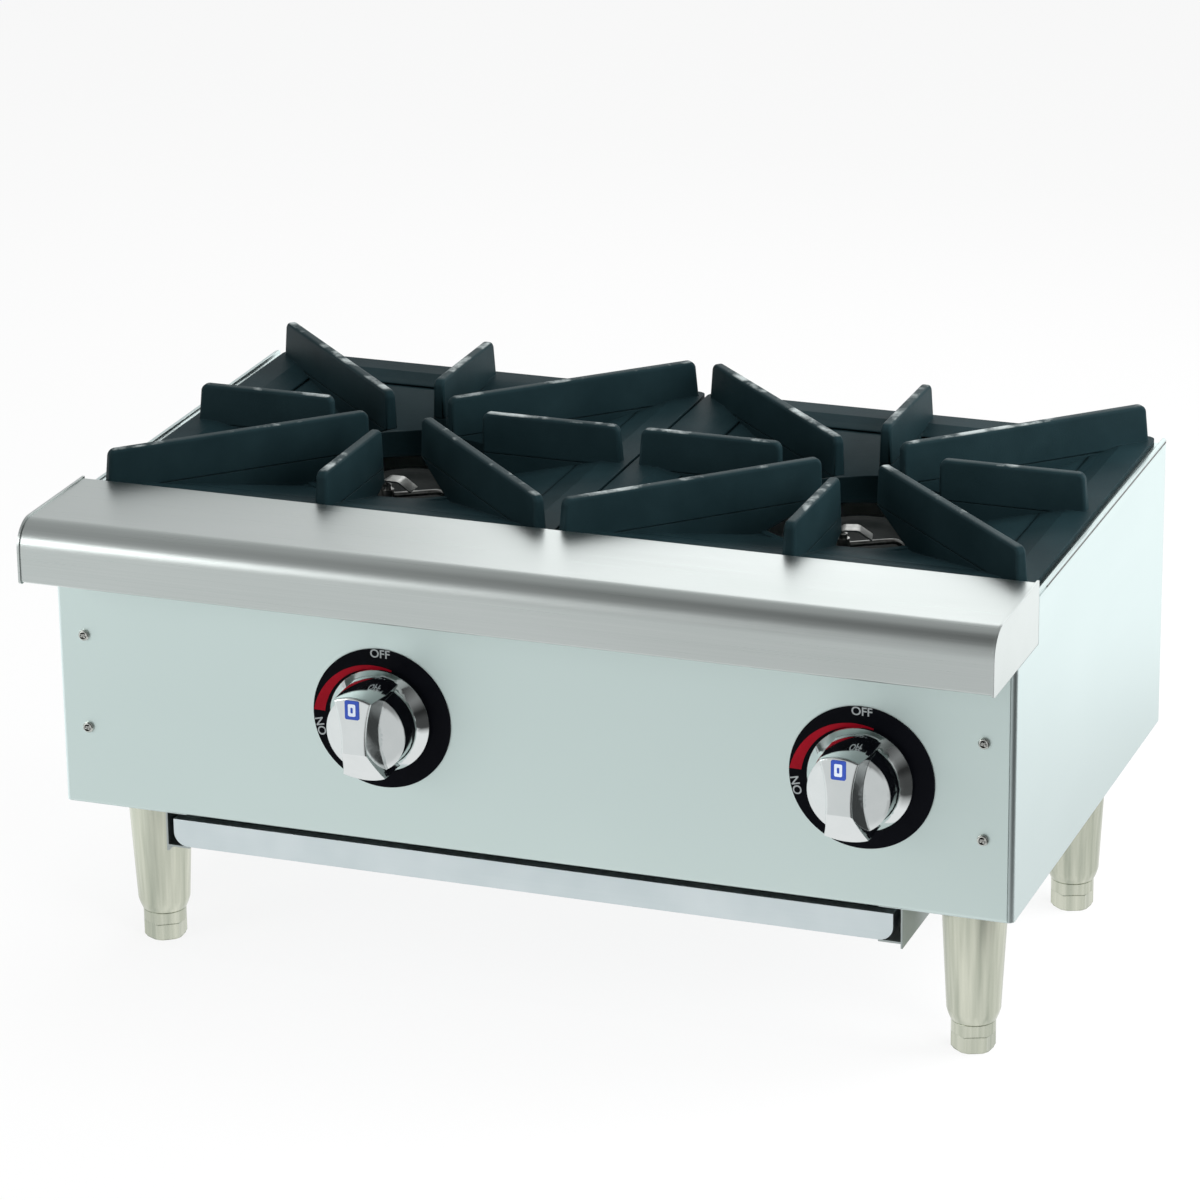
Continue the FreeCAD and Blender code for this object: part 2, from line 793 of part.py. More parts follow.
def inlet_elbow():
    y = manifold_depth
    z = manifold_level
    arm = rod_right(y, z, elbow_x - elbow_arm, elbow_x, elbow_radius)
    turn = Part.makeSphere(elbow_radius, vector(elbow_x, y, z))
    leg_arm = rod_back(elbow_x, z, y, y + elbow_arm, elbow_radius)
    shape = arm.fuse(turn).fuse(leg_arm)
    socket = pipe_radius + pipe_fit
    shape = shape.cut(rod_right(y, z, elbow_x - elbow_arm, elbow_x - elbow_arm + pipe_engagement, socket))
    shape = shape.cut(rod_back(elbow_x, z, y + elbow_arm - pipe_engagement, y + elbow_arm, socket))
    way = rod_right(y, z, elbow_x - elbow_arm, elbow_x, pipe_bore)
    way = way.fuse(Part.makeSphere(pipe_bore, vector(elbow_x, y, z)))
    way = way.fuse(rod_back(elbow_x, z, y, y + elbow_arm, pipe_bore))
    return shape.cut(way)


def inlet_pipe():
    y0 = manifold_depth + elbow_arm - pipe_engagement
    y1 = rear_end
    pipe = rod_back(elbow_x, manifold_level, y0, y1 - thread_length, pipe_radius)
    pipe = pipe.fuse(rod_back(elbow_x, manifold_level, y1 - thread_length, y1, thread_radius))
    return pipe.cut(rod_back(elbow_x, manifold_level, y0, y1, pipe_bore))


def manifold_brackets():
    pieces = []
    for x in (dial_places["left"] + left_bracket_shift, dial_places["right"] + right_bracket_shift):
        plate = block(
            x, x + bracket_gauge, sheet, manifold_depth + bracket_half, manifold_level - bracket_half,
            manifold_level + bracket_half)
        foot_plate = block(
            x, x + bracket_half, sheet, sheet + bracket_gauge, manifold_level - bracket_half,
            manifold_level + bracket_half)
        hole = rod_right(
            manifold_depth, manifold_level, x - sheet, x + 2 * bracket_gauge, pipe_radius + pipe_fit)
        pieces.append(plate.fuse(foot_plate).cut(hole).removeSplitter())
    return Part.makeCompound(pieces)


def gas_valve():
    body = rod_back(0, dial_level, valve_front, valve_back, valve_radius)
    inlet = upright(0, manifold_depth, boss_level, dial_level, valve_inlet_radius)
    nose = rod_back(0, dial_level, valve_front - valve_radius / 2, valve_front, shaft_hole)
    shape = body.fuse(inlet).fuse(nose)
    stem_room = rod_back(
        0, dial_level, valve_front - valve_radius, stem_back + stem_fit, stem_radius + stem_fit)
    return shape.cut(stem_room).removeSplitter()


def orifice_hood():
    y1 = valve_back + hood_length
    body = rod_back(0, dial_level, valve_back, y1 - hood_taper, hood_radius)
    tip = Part.makeCone(
        hood_radius, hood_tip_radius, hood_taper, vector(0, y1 - hood_taper, dial_level), vector(0, 1, 0))
    way = rod_back(0, dial_level, valve_back + hood_taper, y1, orifice_radius)
    return body.fuse(tip).cut(way).removeSplitter()


def pilot_valve():
    shank = upright(0, manifold_depth, boss_level, pilot_valve_top, pilot_valve_radius)
    nut = hexagon(2 * pilot_valve_radius + pilot_nut_margin, boss_level, boss_level + pad_height)
    return shank.fuse(moved(nut, 0, manifold_depth, 0)).removeSplitter()


# Burners, modelled with the burner at x = y = 0 and the valve at x = reach

def burner_base(reach):
    inner_low = cup_low_radius - cup_wall
    cup = turned([
        (0, cup_bottom), (cup_low_radius - cup_lower_bevel, cup_bottom),
        (cup_low_radius, cup_bottom + cup_lower_bevel), (cup_low_radius, cup_waist_level),
        (cup_top_radius - cup_rim_bevel, cup_shoulder_level),
        (cup_top_radius, cup_shoulder_level + 2 * cup_rim_bevel), (cup_top_radius, seat_level),
        (cup_top_inner, seat_level), (cup_top_inner, cup_shoulder_level), (inner_low, cup_waist_level),
        (inner_low, cup_bottom + cup_wall), (0, cup_bottom + cup_wall)])
    room = turned([
        (0, cup_bottom + cup_wall), (inner_low, cup_bottom + cup_wall), (inner_low, cup_waist_level),
        (cup_top_inner, cup_shoulder_level), (cup_top_inner, seat_level), (0, seat_level)])
    mouth = mouth_depth - grate_y
    knee = vector(reach, -reach, dial_level)
    start = vector(reach, mouth, dial_level)
    tube = bent_tube([start, knee, vector(0, 0, dial_level)], tube_bend, tube_radius)
    way_start = vector(reach, mouth + bell_wall, dial_level)
    way = bent_tube([way_start, knee, vector(0, 0, dial_level)], tube_bend, tube_bore)
    bell = Part.makeCone(
        bell_radius, tube_radius, bell_length, vector(reach, mouth, dial_level), vector(0, 1, 0))
    bell_room = Part.makeCone(
        bell_radius - bell_wall, tube_bore, bell_length, vector(reach, mouth + bell_wall, dial_level),
        vector(0, 1, 0))
    pad = block(
        reach - pad_width / 2, reach + pad_width / 2, -rail_ahead - pad_length / 2,
        -rail_ahead + pad_length / 2, cup_bottom, cup_bottom + pad_height)
    lug = block(
        -lug_width / 2, lug_width / 2, cup_low_radius - cup_wall, rail_behind + rail_width / 2, lug_level,
        lug_level + lug_thickness)
    pilot_ledge = block(
        pilot_shift - pilot_ledge_width / 2, pilot_shift + pilot_ledge_width / 2,
        -pilot_ahead - pilot_ledge_margin, -cup_low_radius, pilot_floor - pilot_ledge_thickness, pilot_floor)
    shape = cup.fuse(tube).fuse(bell).fuse(pad).fuse(lug).fuse(pilot_ledge)
    shape = shape.cut(room).cut(way).cut(bell_room)
    centre_hole = hood_radius + mouth_hole_gap
    shape = shape.cut(rod_back(reach, dial_level, mouth - sheet, mouth + 2 * bell_wall, centre_hole))
    for side in (-1, 1):
        shape = shape.cut(rod_back(
            reach, dial_level + side * window_reach, mouth - sheet, mouth + 2 * bell_wall, window_radius))
    return shape.removeSplitter()


def air_shutter():
    disc = rod_back(0, dial_level, shutter_front, shutter_front + shutter_gauge, shutter_radius)
    y1 = shutter_front + 2 * shutter_gauge
    disc = disc.cut(rod_back(0, dial_level, shutter_front, y1, hood_radius + shutter_hole_gap))
    for side in (-1, 1):
        disc = disc.cut(rod_back(0, dial_level + side * window_reach, shutter_front, y1, window_radius))
    return disc


def burner_head():
    top = seat_level + head_height
    spigot = cup_top_inner - head_spigot_gap
    spigot_inner = spigot - head_wall
    roof = top - head_roof - head_dish_depth
    shape = turned([
        (spigot_inner, seat_level - head_spigot), (spigot, seat_level - head_spigot), (spigot, seat_level),
        (head_radius, seat_level), (head_radius, top - head_bevel), (head_radius - head_bevel, top),
        (head_dish_radius + head_dish_slope, top), (head_dish_radius, top - head_dish_depth),
        (0, top - head_dish_depth), (0, roof), (spigot_inner, roof)])
    for step in range(port_count):
        port = block(
            spigot_inner / 2, head_radius + port_width, -port_width / 2, port_width / 2,
            seat_level + port_lift, seat_level + port_lift + port_height)
        port.rotate(vector(0, 0, 0), vector(0, 0, 1), (step + 0.5) * 360.0 / port_count)
        shape = shape.cut(port)
    return shape


# Pilots, in the same place as the burner

def pilot_burner():
    top = pilot_floor + pilot_height
    post = upright(pilot_shift, -pilot_ahead, pilot_floor, top, pilot_radius)
    collar_low = pilot_port_level - pilot_collar_height / 2
    collar_radius = pilot_radius + pilot_collar_wall
    collar = upright(pilot_shift, -pilot_ahead, collar_low, collar_low + pilot_collar_height, collar_radius)
    tip_way = upright(pilot_shift, -pilot_ahead, top - pilot_bore_depth, top, pilot_bore)
    return post.fuse(collar).cut(tip_way).removeSplitter()


# Bent strip round the pilot: a sole on the ledge, a riser and an arch over the flame
def pilot_hood(turn):
    top = pilot_floor + pilot_hood_height
    shoulder = top - pilot_hood_fall
    line = [
        (pilot_hood_sole - pilot_hood_half, pilot_floor), (-pilot_hood_half, pilot_floor),
        (-pilot_hood_half, shoulder), (-pilot_hood_crown, top), (pilot_hood_crown, top),
        (pilot_hood_half, shoulder)]
    bends = [pilot_sole_bend, pilot_hood_bend, pilot_hood_bend, pilot_hood_bend]
    section = sheet_section(line, bends, pilot_hood_gauge, -pilot_hood_length / 2)
    strip = section.extrude(vector(pilot_hood_length, 0, 0))
    strip.rotate(vector(0, 0, 0), vector(0, 0, 1), turn - 90)
    return moved(strip, pilot_shift + pilot_hood_shift, -pilot_ahead, 0)


def pilot_tube(reach):
    valve_x = reach - pilot_valve_shift
    start = vector(valve_x, manifold_depth - grate_y, pilot_valve_top)
    low_turn = vector(valve_x, manifold_depth - grate_y, tube_level)
    low_end = vector(tube_knee_side, -tube_knee_ahead, tube_level)
    high_end = vector(tube_knee_side, -tube_knee_ahead, pilot_port_level)
    heading = vector(tube_knee_side - pilot_shift, pilot_ahead - tube_knee_ahead, 0).normalize()
    pilot_port = vector(pilot_shift, -pilot_ahead, pilot_port_level)
    port = pilot_port + heading * (pilot_radius + pilot_collar_wall)
    return bent_tube([start, low_turn, low_end, high_end, port], tube_corner, tube_wire_radius)


# Body
right_side = side_panel()
pipe_room = rod_back(elbow_x, manifold_level, 0, body_depth, pipe_radius + inlet_hole_clearance)
save("right_side_panel", right_side.cut(pipe_room))
save("left_side_panel", mirrored(right_side))
save("control_panel", control_panel())
save("rear_panel", rear_panel())
save("front_ledge", front_ledge())
right_cap = ledge_cap()
save("right_ledge_cap", right_cap)
save("left_ledge_cap", mirrored(right_cap))
save("front_burner_rail", burner_rail(grate_y - rail_ahead, cup_bottom))
save("rear_burner_rail", burner_rail(grate_y + rail_behind, lug_level))
save("control_panel_screws", panel_screws(0, vector(0, 1, 0)))
save("rear_panel_screws", panel_screws(body_depth, vector(0, -1, 0)))

# Legs and feet, each foot screwed in by its own amount
foot_turns = {"front_left": 33.0, "front_right": 22.0, "rear_left": 47.0, "rear_right": 21.0}
leg_shape = leg()
foot_shape = foot()
nuts = []
for side, sign in sides.items():
    for row, depth in (("front", front_leg_depth), ("rear", rear_leg_depth)):
        save(row + "_" + side + "_leg", moved(leg_shape, sign * leg_x, depth, 0))
        screwed_foot = foot_shape.copy()
        screwed_foot.rotate(vector(0, 0, 0), vector(0, 0, 1), foot_turns[row + "_" + side])
        save(row + "_" + side + "_foot", moved(screwed_foot, sign * leg_x, depth, 0))
        nuts.append(moved(leg_nut(), sign * leg_x, depth, 0))
save("leg_nuts", Part.makeCompound(nuts))

# Drip tray
right_runner = tray_runner()
save("right_tray_runner", right_runner)
save("left_tray_runner", mirrored(right_runner))
save("drip_tray", drip_tray())
fixings = []
for sign in sides.values():
    for depth in runner_screw_depths:
        fixings.append(screw(sign * runner_screw_x, depth, leg_height - sheet, vector(0, 0, 1)))
save("runner_screws", Part.makeCompound(fixings))

# Gas train
save("gas_manifold", gas_manifold())
save("manifold_plug", manifold_plug())
save("inlet_elbow", inlet_elbow())
save("inlet_pipe", inlet_pipe())
save("manifold_brackets", manifold_brackets())

# Each burner with its grate, pilot, valve and knob
grate_shape = grate()
head_shape = burner_head()
knob_shape = knob()
for side, sign in sides.items():
    burner_x = sign * grate_x
    valve_x = dial_places[side]
    reach = valve_x - burner_x
    save(side + "_grate", moved(grate_shape, burner_x, grate_y, 0))
    save(side + "_burner_base", moved(burner_base(reach), burner_x, grate_y, 0))
    save(side + "_burner_head", moved(head_shape, burner_x, grate_y, 0))
    save(side + "_pilot_burner", moved(pilot_burner(), burner_x, grate_y, 0))
    save(side + "_pilot_hood", moved(pilot_hood(hood_turns[side]), burner_x, grate_y, 0))
    save(side + "_pilot_tube", moved(pilot_tube(reach), burner_x, grate_y, 0))
    save(side + "_pilot_valve", moved(pilot_valve(), valve_x - pilot_valve_shift, 0, 0))
    save(side + "_gas_valve", moved(gas_valve(), valve_x, 0, 0))
    save(side + "_orifice_hood", moved(orifice_hood(), valve_x, 0, 0))
    save(side + "_air_shutter", moved(air_shutter(), valve_x, 0, 0))
    save(side + "_dial_plate", facing_front(dial_plate(), valve_x, dial_level))
    save(side + "_knob", facing_front(knob_shape, valve_x, dial_level))
    save(side + "_knob_tile", facing_front(knob_tile(), valve_x, dial_level))
    save(side + "_valve_stem", facing_front(valve_stem(), valve_x, dial_level))
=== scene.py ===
import json
import math

import bmesh
import bpy
from mathutils import Matrix, Vector

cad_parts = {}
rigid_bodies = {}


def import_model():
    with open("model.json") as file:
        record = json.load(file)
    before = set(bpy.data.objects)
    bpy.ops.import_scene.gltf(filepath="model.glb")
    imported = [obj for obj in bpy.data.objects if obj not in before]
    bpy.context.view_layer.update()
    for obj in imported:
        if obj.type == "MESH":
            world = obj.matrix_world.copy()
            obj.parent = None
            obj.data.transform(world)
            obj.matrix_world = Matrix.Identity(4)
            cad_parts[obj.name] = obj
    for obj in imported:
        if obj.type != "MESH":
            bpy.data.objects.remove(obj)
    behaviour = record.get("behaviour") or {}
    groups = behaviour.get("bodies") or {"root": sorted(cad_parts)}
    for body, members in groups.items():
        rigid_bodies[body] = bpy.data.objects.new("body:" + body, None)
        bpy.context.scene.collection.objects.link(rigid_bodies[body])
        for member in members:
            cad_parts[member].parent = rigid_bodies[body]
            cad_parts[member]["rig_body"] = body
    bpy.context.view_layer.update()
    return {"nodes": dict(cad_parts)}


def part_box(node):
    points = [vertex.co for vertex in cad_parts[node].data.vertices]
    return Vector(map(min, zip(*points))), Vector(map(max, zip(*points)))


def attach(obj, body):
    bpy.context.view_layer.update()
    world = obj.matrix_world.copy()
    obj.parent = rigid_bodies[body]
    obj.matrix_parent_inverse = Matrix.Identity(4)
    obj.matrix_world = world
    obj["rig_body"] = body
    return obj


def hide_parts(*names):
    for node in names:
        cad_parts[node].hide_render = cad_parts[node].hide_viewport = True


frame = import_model()
cadNodes = frame["nodes"]
mm = 0.001
print("frame loaded,", len(cadNodes), "nodes")


# Shader helpers, with the values that every finish shares
surface = {
    "roundingSamples": 4, "edgeSamples": 6, "edgeSpread": (0.99, 0.80), "fineDepth": 0.05 * mm, "castDepth": 0.3 * mm,
    "rippleBump": 0.03, "patchSpan": (0.3, 0.7), "lineSpan": (0.25, 0.75), "gripSpan": (0.2, 0.8),
    "smearSpan": (0.35, 0.7), "wornMetal": 0.3, "wornRough": 0.34}


def addNode(tree, kind, inputs=None, **options):
    node = tree.nodes.new(kind)
    for option, value in options.items():
        setattr(node, option, value)
    for socket, value in (inputs or {}).items():
        if isinstance(value, bpy.types.NodeSocket):
            tree.links.new(value, node.inputs[socket])
        else:
            node.inputs[socket].default_value = value
    return node


def startMaterial(name, metallic=0.0):
    material = bpy.data.materials.new(name)
    material.use_nodes = True
    tree = material.node_tree
    shader = tree.nodes["Principled BSDF"]
    shader.inputs["Metallic"].default_value = metallic
    return material, tree, shader


def objectPlace(tree):
    return addNode(tree, "ShaderNodeTexCoord").outputs["Object"]


def noise(tree, stretch, detail=3.0, rough=0.55):
    mapped = addNode(tree, "ShaderNodeMapping", {"Vector": objectPlace(tree), "Scale": stretch})
    texture = addNode(tree, "ShaderNodeTexNoise", {
        "Vector": mapped.outputs["Vector"], "Scale": 1.0, "Detail": detail, "Roughness": rough})
    return texture.outputs["Fac"]


def mapRange(tree, value, low, high, newLow, newHigh):
    node = addNode(tree, "ShaderNodeMapRange", {
        "Value": value, "From Min": low, "From Max": high, "To Min": newLow, "To Max": newHigh})
    return node.outputs["Result"]


def mixColour(tree, factor, first, second):
    node = addNode(tree, "ShaderNodeMix", data_type="RGBA")
    for socket, value in ((0, factor), (6, first), (7, second)):
        if isinstance(value, bpy.types.NodeSocket):
            tree.links.new(value, node.inputs[socket])
        else:
            node.inputs[socket].default_value = value if socket == 0 else (*value, 1.0)
    return node.outputs[2]


def multiply(tree, first, second):
    node = addNode(tree, "ShaderNodeMath", {0: first, 1: second}, operation="MULTIPLY")
    return node.outputs[0]


def maximum(tree, first, second):
    node = addNode(tree, "ShaderNodeMath", {0: first, 1: second}, operation="MAXIMUM")
    return node.outputs[0]


def bumpOver(tree, height, strength, depth, softEdge):
    rounding = addNode(tree, "ShaderNodeBevel", {"Radius": softEdge}, samples=surface["roundingSamples"])
    bump = addNode(tree, "ShaderNodeBump", {
        "Height": height, "Strength": strength, "Distance": depth, "Normal": rounding.outputs["Normal"]})
    return bump.outputs["Normal"]


def edgeMask(tree, radius):
    rounding = addNode(tree, "ShaderNodeBevel", {"Radius": radius}, samples=surface["edgeSamples"])
    faceNormal = addNode(tree, "ShaderNodeNewGeometry").outputs["Normal"]
    spread = addNode(
        tree, "ShaderNodeVectorMath", {0: rounding.outputs["Normal"], 1: faceNormal}, operation="DOT_PRODUCT")
    return mapRange(tree, spread.outputs["Value"], *surface["edgeSpread"], 0.0, 1.0)


def link(tree, socket, shader, name):
    tree.links.new(socket, shader.inputs[name])


# Metal sheet with brush lines along one axis, hazy patches and softened edges. On the legs and feet, the tall patches
# and lines are painted reflection streaks
def brushedSheet(name, look):
    material, tree, shader = startMaterial(name, metallic=1.0)
    lines = noise(tree, look["lines"], detail=4.0, rough=0.7)
    patches = noise(tree, look["patches"], detail=2.0)
    hazeAndPaintedStreaks = mapRange(tree, patches, *surface["patchSpan"], 0.0, 1.0)
    toned = mixColour(tree, hazeAndPaintedStreaks, look["dark"], look["light"])
    lineTone = mapRange(tree, lines, *surface["lineSpan"], 0.0, look["lineTone"])
    link(tree, mixColour(tree, lineTone, toned, look["lineColour"]), shader, "Base Color")
    link(tree, mapRange(tree, lines, *surface["gripSpan"], *look["rough"]), shader, "Roughness")
    link(tree, bumpOver(tree, lines, look["bump"], surface["fineDepth"], look["edge"]), shader, "Normal")
    return material


panelLook = {
    "dark": (0.680, 0.795, 0.775), "light": (0.700, 0.815, 0.795), "lineColour": (0.745, 0.85, 0.83), "lineTone": 0.25,
    "lines": (6, 600, 1500), "patches": (5, 5, 7), "rough": (0.44, 0.54), "bump": 0.08, "edge": 0.0006}
sideLook = {
    "dark": (0.68, 0.785, 0.78), "light": (0.72, 0.825, 0.82), "lineColour": (0.78, 0.87, 0.87), "lineTone": 0.3,
    "lines": (600, 6, 1500), "patches": (4, 4, 6), "rough": (0.36, 0.48), "bump": 0.08, "edge": 0.0006}
ledgeLook = {
    "dark": (0.53, 0.575, 0.56), "light": (0.58, 0.62, 0.61), "lineColour": (0.70, 0.73, 0.72), "lineTone": 0.40,
    "lines": (4, 1400, 1400), "patches": (5, 20, 20), "rough": (0.25, 0.36), "bump": 0.12, "edge": 0.0005}
trayLook = {
    "dark": (0.64, 0.73, 0.75), "light": (0.74, 0.82, 0.84), "lineColour": (0.80, 0.86, 0.88), "lineTone": 0.3,
    "lines": (10, 500, 500), "patches": (26, 26, 26), "rough": (0.30, 0.44), "bump": 0.10, "edge": 0.0005}
# The runner steel is darker than the tray's steel, which is painted shade on the runner webs
shadedRunnerLook = {
    "dark": (0.37, 0.42, 0.41), "light": (0.46, 0.51, 0.50), "lineColour": (0.54, 0.59, 0.58), "lineTone": 0.3,
    "lines": (500, 10, 500), "patches": (26, 26, 26), "rough": (0.36, 0.50), "bump": 0.10, "edge": 0.0005}
rearLook = {
    "dark": (0.50, 0.54, 0.54), "light": (0.57, 0.60, 0.60), "lineColour": (0.63, 0.66, 0.66), "lineTone": 0.3,
    "lines": (6, 600, 1200), "patches": (6, 6, 8), "rough": (0.38, 0.52), "bump": 0.12, "edge": 0.0006}
innerLook = {
    "dark": (0.30, 0.32, 0.32), "light": (0.40, 0.42, 0.42), "lineColour": (0.46, 0.47, 0.47), "lineTone": 0.3,
    "lines": (20, 400, 400), "patches": (18, 18, 18), "rough": (0.40, 0.58), "bump": 0.12, "edge": 0.0005}
# Leg nickel: the tall dark and light bands from the stretched patches and lines are painted reflection streaks
paintedStreakLegLook = {
    "dark": (0.36, 0.395, 0.32), "light": (0.69, 0.71, 0.595), "lineColour": (0.76, 0.78, 0.67), "lineTone": 0.3,
    "lines": (420, 420, 3), "patches": (150, 150, 6), "rough": (0.18, 0.28), "bump": 0.03, "edge": 0.0004}
screwLook = {
    "dark": (0.62, 0.63, 0.60), "light": (0.74, 0.75, 0.71), "lineColour": (0.80, 0.80, 0.77), "lineTone": 0.3,
    "lines": (700, 700, 700), "patches": (120, 120, 120), "rough": (0.16, 0.28), "bump": 0.06, "edge": 0.0002}
pilotLook = {
    "dark": (0.24, 0.25, 0.24), "light": (0.55, 0.56, 0.54), "lineColour": (0.70, 0.70, 0.67), "lineTone": 0.3,
    "lines": (800, 80, 80), "patches": (160, 160, 160), "rough": (0.28, 0.46), "bump": 0.20, "edge": 0.0004}
brassLook = {
    "dark": (0.55, 0.39, 0.14), "light": (0.68, 0.51, 0.21), "lineColour": (0.76, 0.60, 0.30), "lineTone": 0.3,
    "lines": (300, 900, 300), "patches": (60, 60, 60), "rough": (0.24, 0.40), "bump": 0.08, "edge": 0.0004}

panelSteel = brushedSheet("satin panel steel", panelLook)
sideSteel = brushedSheet("pale side steel", sideLook)
ledgeSteel = brushedSheet("brushed ledge steel", ledgeLook)
traySteel = brushedSheet("tray steel", trayLook)
shadedRunnerSteel = brushedSheet("runner steel with painted shade", shadedRunnerLook)
rearSteel = brushedSheet("rear panel steel", rearLook)
innerSteel = brushedSheet("inner mill steel", innerLook)
paintedStreakNickel = brushedSheet("satin nickel with painted reflection streaks", paintedStreakLegLook)
screwZinc = brushedSheet("zinc plate", screwLook)
pilotSteel = brushedSheet("bright pilot strip", pilotLook)
valveBrass = brushedSheet("turned brass", brassLook)


# Cast iron with sand grain, and paler worn metal on edges and where pans rub
def castIron(name, look):
    material, tree, shader = startMaterial(name)
    shader.inputs["Specular IOR Level"].default_value = look["sheen"]
    grain = noise(tree, (look["grain"],) * 3, detail=4.0, rough=0.65)
    cloud = noise(tree, (look["cloud"],) * 3, detail=3.0)
    coat = mixColour(tree, mapRange(tree, cloud, *surface["patchSpan"], 0.0, 1.0), look["dark"], look["light"])
    flakes = noise(tree, (look["chips"],) * 3, detail=5.0, rough=0.6)
    chips = mapRange(tree, flakes, *look["chipsFrom"], 0.0, 1.0)
    height = addNode(tree, "ShaderNodeSeparateXYZ", {0: objectPlace(tree)}).outputs["Z"]
    handled = mapRange(tree, height, *look["handledFrom"], 0.0, look["edgeWear"])
    edges = multiply(tree, edgeMask(tree, look["edgeRadius"]), handled)
    rubbed = multiply(tree, mapRange(tree, height, look["rubLow"], look["rubHigh"], 0.0, 1.0), look["rubWear"])
    worn = multiply(tree, maximum(tree, edges, rubbed), mapRange(tree, chips, 0.0, 1.0, look["wornLeast"], 1.0))
    link(tree, mixColour(tree, worn, coat, look["bare"]), shader, "Base Color")
    link(tree, multiply(tree, worn, surface["wornMetal"]), shader, "Metallic")
    link(tree, mapRange(tree, worn, 0.0, 1.0, look["rough"], surface["wornRough"]), shader, "Roughness")
    link(tree, bumpOver(tree, grain, look["bump"], surface["castDepth"], look["edge"]), shader, "Normal")
    return material


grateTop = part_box("left_grate")[1].z
grateLook = {
    "dark": (0.0085, 0.0205, 0.0245), "light": (0.0130, 0.0290, 0.0340), "bare": (0.42, 0.47, 0.47), "grain": 900,
    "cloud": 24, "chips": 36, "chipsFrom": (0.53, 0.66), "edgeRadius": 0.0009, "edgeWear": 0.60,
    "handledFrom": (grateTop - 0.020, grateTop - 0.008),
    "rubLow": grateTop - 0.0007, "rubHigh": grateTop - 0.0001, "rubWear": 0.95, "wornLeast": 0.06, "rough": 0.50,
    "bump": 0.35, "edge": 0.0010, "sheen": 0.05}
burnerLook = {
    "dark": (0.006, 0.008, 0.008), "light": (0.014, 0.016, 0.0155), "bare": (0.11, 0.12, 0.115), "grain": 800,
    "cloud": 40, "chips": 120, "chipsFrom": (0.42, 0.62), "edgeRadius": 0.0008, "edgeWear": 0.5,
    "handledFrom": (-1.0, -0.9), "rubLow": 1.0, "rubHigh": 1.1, "rubWear": 0.0,
    "wornLeast": 0.3, "rough": 0.6, "bump": 0.4, "edge": 0.001, "sheen": 0.06}
pipeLook = {
    "dark": (0.03, 0.03, 0.03), "light": (0.055, 0.055, 0.054), "bare": (0.25, 0.25, 0.24), "grain": 700,
    "cloud": 30, "chips": 90, "chipsFrom": (0.42, 0.62), "edgeRadius": 0.0008, "edgeWear": 0.4,
    "handledFrom": (-1.0, -0.9), "rubLow": 1.0, "rubHigh": 1.1, "rubWear": 0.0,
    "wornLeast": 0.3, "rough": 0.5, "bump": 0.2, "edge": 0.0006, "sheen": 0.4}
grateIron = castIron("coated grate iron", grateLook)
burnerIron = castIron("rough burner iron", burnerLook)
pipeIron = castIron("black pipe", pipeLook)


def polishedChrome(name, look):
    material, tree, shader = startMaterial(name, metallic=1.0)
    smears = noise(tree, (look["smears"],) * 3, detail=4.0)
    link(tree, mixColour(tree, smears, look["dark"], look["light"]), shader, "Base Color")
    link(tree, mapRange(tree, smears, *surface["smearSpan"], *look["rough"]), shader, "Roughness")
    ripple = noise(tree, (look["ripple"],) * 3, detail=1.0)
    wave = bumpOver(tree, ripple, surface["rippleBump"], surface["castDepth"], look["edge"])
    link(tree, wave, shader, "Normal")
    return material


chromeLook = {
    "dark": (0.71, 0.75, 0.75), "light": (0.80, 0.83, 0.83), "smears": 90, "rough": (0.035, 0.09), "ripple": 60,
    "edge": 0.0007}
knobChrome = polishedChrome("knob chrome", chromeLook)


# Printed or moulded gloss colour with a fine orange-peel surface
def glossCoat(name, look):
    material, tree, shader = startMaterial(name)
    shader.inputs["Specular IOR Level"].default_value = look["sheen"]
    cloud = noise(tree, (look["cloud"],) * 3, detail=3.0)
    link(tree, mixColour(tree, cloud, look["dark"], look["light"]), shader, "Base Color")
    link(tree, mapRange(tree, cloud, *surface["patchSpan"], *look["rough"]), shader, "Roughness")
    peel = noise(tree, (look["peel"],) * 3, detail=2.0)
    link(tree, bumpOver(tree, peel, look["bump"], surface["fineDepth"], look["edge"]), shader, "Normal")
    return material


dialLook = {
    "dark": (0.0022, 0.0026, 0.0042), "light": (0.0042, 0.0046, 0.0068), "cloud": 120, "rough": (0.30, 0.42),
    "peel": 900, "bump": 0.1, "edge": 0.0003, "sheen": 0.03}
redLook = {
    "dark": (0.27, 0.0035, 0.012), "light": (0.37, 0.006, 0.018), "cloud": 140, "rough": (0.30, 0.42), "peel": 900,
    "bump": 0.1, "edge": 0.0001, "sheen": 0.06}
letterLook = {
    "dark": (0.32, 0.35, 0.36), "light": (0.45, 0.48, 0.49), "cloud": 500, "rough": (0.40, 0.55), "peel": 900,
    "bump": 0.1, "edge": 0.0001, "sheen": 0.2}
tileLook = {
    "dark": (0.016, 0.055, 0.36), "light": (0.024, 0.080, 0.46), "cloud": 300, "rough": (0.12, 0.22), "peel": 900,
    "bump": 0.06, "edge": 0.0003, "sheen": 0.5}
tileFieldLook = {
    "dark": (0.62, 0.70, 0.82), "light": (0.76, 0.82, 0.90), "cloud": 400, "rough": (0.15, 0.25), "peel": 900,
    "bump": 0.06, "edge": 0.0002, "sheen": 0.5}
# Near-black finish for the strips of painted shade in the side seams
seamShadeLook = {
    "dark": (0.05, 0.05, 0.05), "light": (0.10, 0.10, 0.095), "cloud": 600, "rough": (0.5, 0.7), "peel": 900,
    "bump": 0.1, "edge": 0.0001, "sheen": 0.3}
dialBlack = glossCoat("dial black", dialLook)
dialRed = glossCoat("dial red", redLook)
letterGrey = glossCoat("dial lettering", letterLook)
tileBlue = glossCoat("pointer tile blue", tileLook)
tilePale = glossCoat("pointer tile field", tileFieldLook)
seamShadeDark = glossCoat("painted seam shade", seamShadeLook)
print("materials made:", len(bpy.data.materials))


